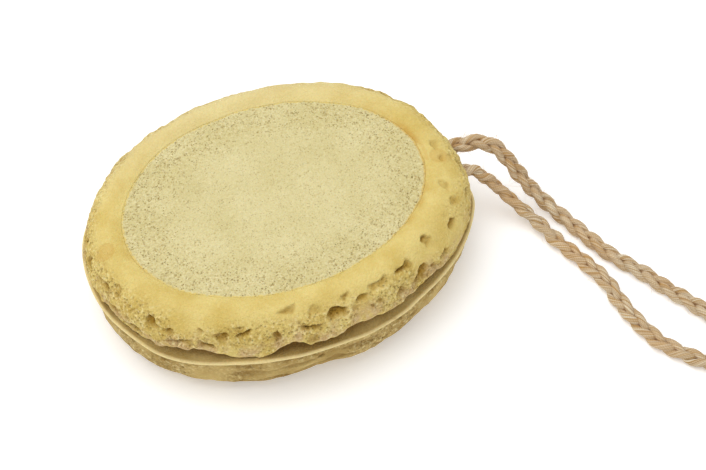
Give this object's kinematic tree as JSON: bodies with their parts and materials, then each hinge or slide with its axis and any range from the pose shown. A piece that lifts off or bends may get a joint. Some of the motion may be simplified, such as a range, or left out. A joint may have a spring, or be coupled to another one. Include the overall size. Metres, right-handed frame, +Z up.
{
  "type": "bath sponge",
  "caption": "Oval bath sponge with a cratered foam rim, a fine-pored scrub pad set flush in the top and a plaited cord loop for hanging.",
  "frame": {"origin": "centre of the sponge's underside, at the bottom centre of its box with the loop left out", "axes": "+X along the sponge's length towards the end that the loop leaves, +Z up through the pad"},
  "size_m": [0.2264, 0.1811, 0.0396],
  "materials": {
    "rim_foam": "soft matte foam, moulded with craters and fine pores, straw yellow",
    "lower_foam": "soft matte foam, moulded smooth with fine pores, straw yellow",
    "pad_foam": "matte open-pored foam, pale straw",
    "cord": "three-strand plait of soft tan fibre with a slight sheen"
  },
  "bodies": {
    "root": {"upper_foam": "rim_foam", "lower_foam": "lower_foam", "scrub_pad": "pad_foam", "hanging_loop": "cord"}
  },
  "joints": []
}
